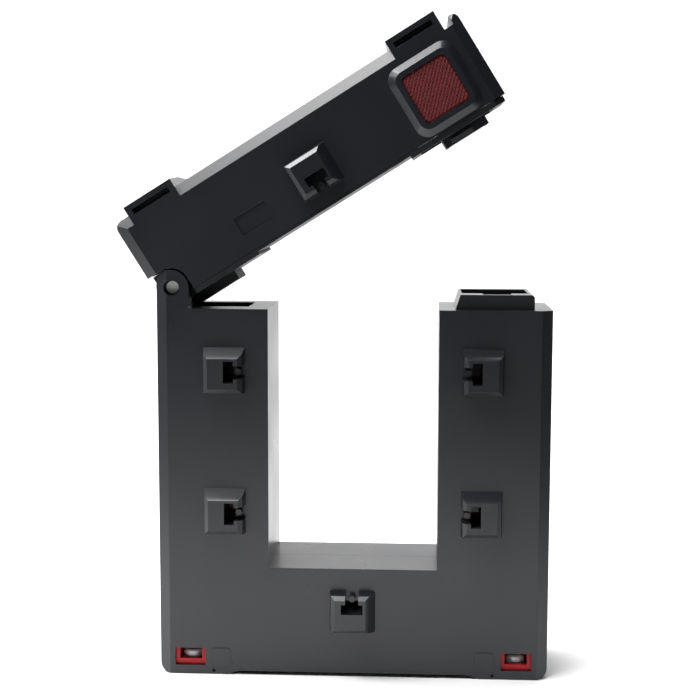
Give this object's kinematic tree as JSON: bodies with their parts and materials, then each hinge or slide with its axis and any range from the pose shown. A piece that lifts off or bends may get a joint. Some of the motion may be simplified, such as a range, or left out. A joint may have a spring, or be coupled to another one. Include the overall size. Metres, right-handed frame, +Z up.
{
  "type": "split-core current transformer",
  "caption": "Window-type current transformer with a hinged, latched lid, split magnetic core, bobbin windings and screw terminals.",
  "frame": {"origin": "middle of the housing's footprint, in the plane of its feet", "axes": "+X across the window away from the hinge, +Y from the front face to the rear face along the conductor, +Z up the legs towards the lid"},
  "size_m": [0.1274, 0.037, 0.196],
  "materials": {
    "housing_plastic": "satin black moulded plastic, fine spark-eroded texture",
    "inner_plastic": "satin black moulded plastic",
    "core_steel": "stacked electrical steel, edges of the laminations ground flat",
    "bobbin_nylon": "natural nylon",
    "winding_copper": "enamelled copper wire, wound in layers",
    "wire_sleeve": "insulated hook-up wire",
    "terminal_red": "glossy red moulded plastic",
    "terminal_metal": "nickel-plated brass and steel",
    "screw_steel": "zinc-plated steel",
    "pin_steel": "bright turned steel",
    "spring_steel": "cold-rolled spring steel",
    "button_red": "dark red moulded plastic with a fine diamond knurl"
  },
  "bodies": {
    "housing": {"lower_front_shell": "housing_plastic", "lower_rear_shell": "housing_plastic", "lower_core": "core_steel", "bobbin_left": "bobbin_nylon", "bobbin_right": "bobbin_nylon", "winding_left": "winding_copper", "winding_right": "winding_copper", "lead_wire_left": "wire_sleeve", "lead_wire_right": "wire_sleeve", "terminal_block_left": "terminal_red", "terminal_block_right": "terminal_red", "terminal_strip_left": "terminal_metal", "terminal_strip_right": "terminal_metal", "terminal_nuts": "terminal_metal", "terminal_screw_left": "terminal_metal", "terminal_screw_right": "terminal_metal", "housing_screws": "screw_steel", "hinge_pin": "pin_steel"},
    "lid": {"lid_front_shell": "housing_plastic", "lid_rear_shell": "housing_plastic", "lid_base_plate": "inner_plastic", "lid_core": "core_steel", "leaf_spring_left": "spring_steel", "leaf_spring_right": "spring_steel", "lid_screws": "screw_steel", "base_plate_screws": "screw_steel", "latch_arm": "inner_plastic"},
    "button": {"latch_button": "button_red"}
  },
  "joints": [
    {"name": "lid_hinge", "type": "hinge", "parent": "housing", "child": "lid", "pos_m": [-0.0534, 0, 0.1163], "axis": [0, -1, 0], "range_deg": [-32, 63]},
    {"name": "button_press", "type": "slide", "parent": "lid", "child": "button", "axis": [0, 1, 0], "range_m": [0, 0.0016], "stiffness_N_per_m": 700, "springref_m": -0.0015, "deforming": ["latch_arm"]}
  ]
}
